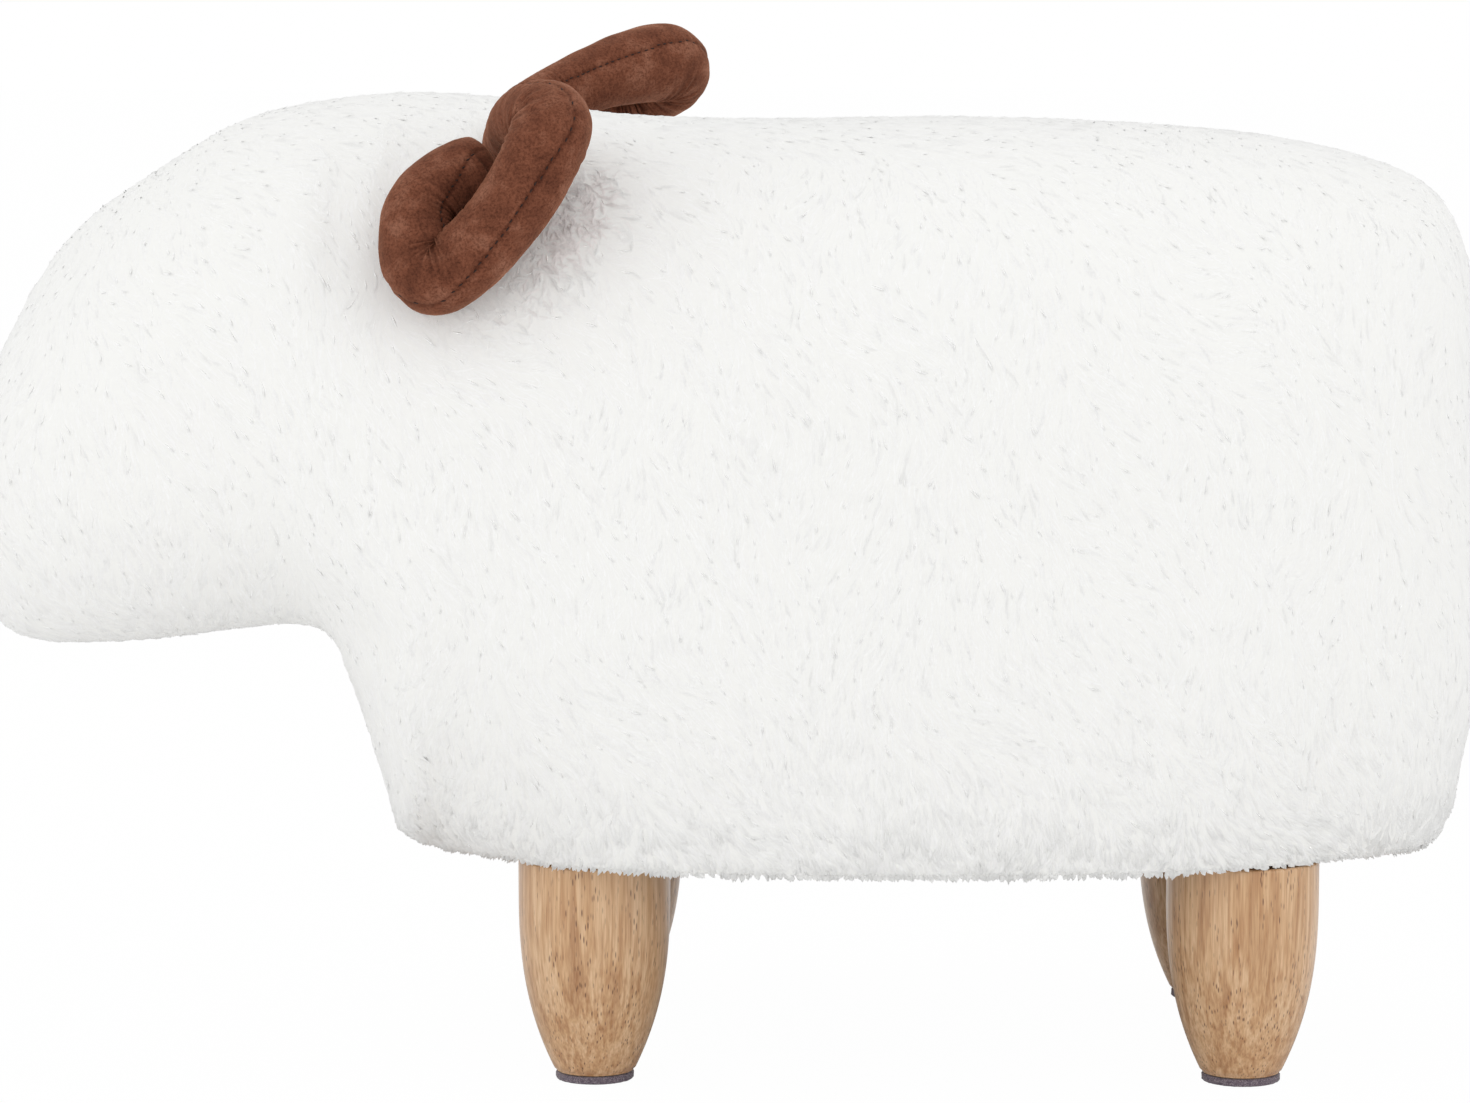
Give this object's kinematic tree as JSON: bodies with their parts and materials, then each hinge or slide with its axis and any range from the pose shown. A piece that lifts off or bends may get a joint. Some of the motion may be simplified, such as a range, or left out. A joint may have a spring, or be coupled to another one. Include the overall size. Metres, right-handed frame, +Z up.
{
  "type": "animal footstool",
  "caption": "Low padded footstool in the shape of a sheep: a plush body and head with stuffed curled horns in brown velour, on turned wooden legs with felt pads.",
  "frame": {"origin": "on the floor, under the middle of the stool's overall length and width", "axes": "+Z up, -X towards the nose, +X towards the rump, -Y the animal's left side, which is the side in the picture"},
  "size_m": [0.622, 0.3265, 0.42],
  "materials": {
    "plush": "long-pile plush, off-white",
    "velour": "short-pile velour, brown",
    "leg_wood": "clear satin lacquer",
    "felt": "pressed felt, dark grey violet",
    "plywood": "raw plywood",
    "pine": "planed pine",
    "foam": "open-cell polyurethane foam",
    "fibre": "polyester fibre fill",
    "zinc_steel": "zinc-plated steel",
    "dust_cloth": "black spun-bonded cloth"
  },
  "bodies": {
    "root": {"base_board": "plywood", "base_screw_front_left": "zinc_steel", "base_screw_front_right": "zinc_steel", "base_screw_rear_left": "zinc_steel", "base_screw_rear_right": "zinc_steel", "chest_foam": "foam", "corner_block_front_left": "pine", "corner_block_front_right": "pine", "corner_block_rear_left": "pine", "corner_block_rear_right": "pine", "cover_cheek_left": "plush", "cover_cheek_right": "plush", "cover_chest": "plush", "cover_chin": "plush", "cover_crown": "plush", "cover_face": "plush", "cover_rump": "plush", "cover_seat_top": "plush", "cover_side_left": "plush", "cover_side_right": "plush", "dust_cover": "dust_cloth", "felt_pad_front_left": "felt", "felt_pad_front_right": "felt", "felt_pad_rear_left": "felt", "felt_pad_rear_right": "felt", "front_board": "plywood", "hanger_bolt_front_left": "zinc_steel", "hanger_bolt_front_right": "zinc_steel", "hanger_bolt_rear_left": "zinc_steel", "hanger_bolt_rear_right": "zinc_steel", "head_board": "plywood", "head_foam": "foam", "horn_cover_left": "velour", "horn_cover_right": "velour", "horn_stuffing_left": "fibre", "horn_stuffing_right": "fibre", "leg_front_left": "leg_wood", "leg_front_right": "leg_wood", "leg_rear_left": "leg_wood", "leg_rear_right": "leg_wood", "rear_board": "plywood", "rump_foam": "foam", "seat_board": "plywood", "seat_foam": "foam", "seat_screw_front_left": "zinc_steel", "seat_screw_front_right": "zinc_steel", "seat_screw_rear_left": "zinc_steel", "seat_screw_rear_right": "zinc_steel", "side_board_left": "plywood", "side_board_right": "plywood", "side_foam_left": "foam", "side_foam_right": "foam", "t_nut_front_left": "zinc_steel", "t_nut_front_right": "zinc_steel", "t_nut_rear_left": "zinc_steel", "t_nut_rear_right": "zinc_steel"}
  },
  "joints": []
}
